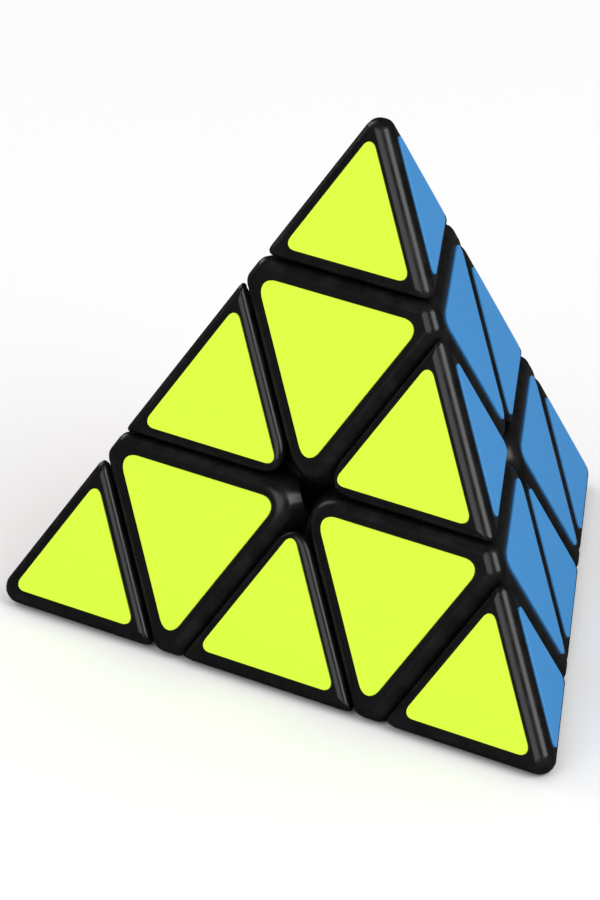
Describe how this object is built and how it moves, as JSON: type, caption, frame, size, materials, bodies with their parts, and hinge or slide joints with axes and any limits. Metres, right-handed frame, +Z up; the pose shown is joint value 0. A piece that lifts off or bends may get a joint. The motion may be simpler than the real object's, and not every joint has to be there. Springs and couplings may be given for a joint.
{
  "type": "pyramid twisty puzzle",
  "caption": "Four-sided pyramid twisty puzzle in black plastic with coloured triangular stickers, turning tips and a turning top layer.",
  "frame": {"origin": "the centre of the core, where the four turning axes cross; the base stickers lie 21.2 mm below it", "axes": "+Z up through the top tip; the left corner lies towards -X, the front corner towards +X and -Y, the back corner towards +X and +Y"},
  "size_m": [0.0846, 0.0968, 0.0797],
  "materials": {
    "shell_plastic": "moulded gloss black",
    "inner_plastic": "moulded satin black",
    "clip_plastic": "moulded satin black",
    "screw_steel": "zinc plated",
    "spring_steel": "drawn wire",
    "vinyl_lime": "bright vinyl",
    "vinyl_blue": "vinyl",
    "vinyl_red": "vinyl",
    "vinyl_green": "vinyl"
  },
  "bodies": {
    "core_and_base": {"core": "inner_plastic", "core_screws": "screw_steel", "core_springs": "spring_steel", "core_washers": "screw_steel", "axial_left": "shell_plastic", "axial_front": "shell_plastic", "axial_back": "shell_plastic", "stalk_left": "inner_plastic", "stalk_front": "inner_plastic", "stalk_back": "inner_plastic", "edge_left_front": "shell_plastic", "edge_left_back": "shell_plastic", "edge_front_back": "shell_plastic", "foot_left_front": "inner_plastic", "foot_left_back": "inner_plastic", "foot_front_back": "inner_plastic", "sticker_base_green": "vinyl_green", "sticker_base_blue": "vinyl_blue", "sticker_base_red": "vinyl_red", "sticker_base_lime": "vinyl_lime"},
    "top_layer": {"axial_top": "shell_plastic", "stalk_top": "inner_plastic", "edge_top_left": "shell_plastic", "edge_top_front": "shell_plastic", "edge_top_back": "shell_plastic", "foot_top_left": "inner_plastic", "foot_top_front": "inner_plastic", "foot_top_back": "inner_plastic", "sticker_layer_blue": "vinyl_blue", "sticker_layer_red": "vinyl_red", "sticker_layer_lime": "vinyl_lime"},
    "top_tip": {"tip_top": "shell_plastic", "clip_top": "clip_plastic", "sticker_tip_top_blue": "vinyl_blue", "sticker_tip_top_red": "vinyl_red", "sticker_tip_top_lime": "vinyl_lime"},
    "left_tip": {"tip_left": "shell_plastic", "clip_left": "clip_plastic", "sticker_tip_left_green": "vinyl_green", "sticker_tip_left_red": "vinyl_red", "sticker_tip_left_lime": "vinyl_lime"},
    "front_tip": {"tip_front": "shell_plastic", "clip_front": "clip_plastic", "sticker_tip_front_green": "vinyl_green", "sticker_tip_front_blue": "vinyl_blue", "sticker_tip_front_lime": "vinyl_lime"},
    "back_tip": {"tip_back": "shell_plastic", "clip_back": "clip_plastic", "sticker_tip_back_green": "vinyl_green", "sticker_tip_back_blue": "vinyl_blue", "sticker_tip_back_red": "vinyl_red"}
  },
  "joints": [
    {"name": "top_layer_turn", "type": "hinge", "parent": "core_and_base", "child": "top_layer", "pos_m": [0, 0, 0], "axis": [0, 0, 1], "continuous": true},
    {"name": "top_tip_turn", "type": "hinge", "parent": "top_layer", "child": "top_tip", "pos_m": [0, 0, 0], "axis": [0, 0, 1], "continuous": true},
    {"name": "left_tip_turn", "type": "hinge", "parent": "core_and_base", "child": "left_tip", "pos_m": [0, 0, 0], "axis": [-0.9428, 0, -0.3333], "continuous": true},
    {"name": "front_tip_turn", "type": "hinge", "parent": "core_and_base", "child": "front_tip", "pos_m": [0, 0, 0], "axis": [0.4714, -0.8165, -0.3333], "continuous": true},
    {"name": "back_tip_turn", "type": "hinge", "parent": "core_and_base", "child": "back_tip", "pos_m": [0, 0, 0], "axis": [0.4714, 0.8165, -0.3333], "continuous": true}
  ]
}
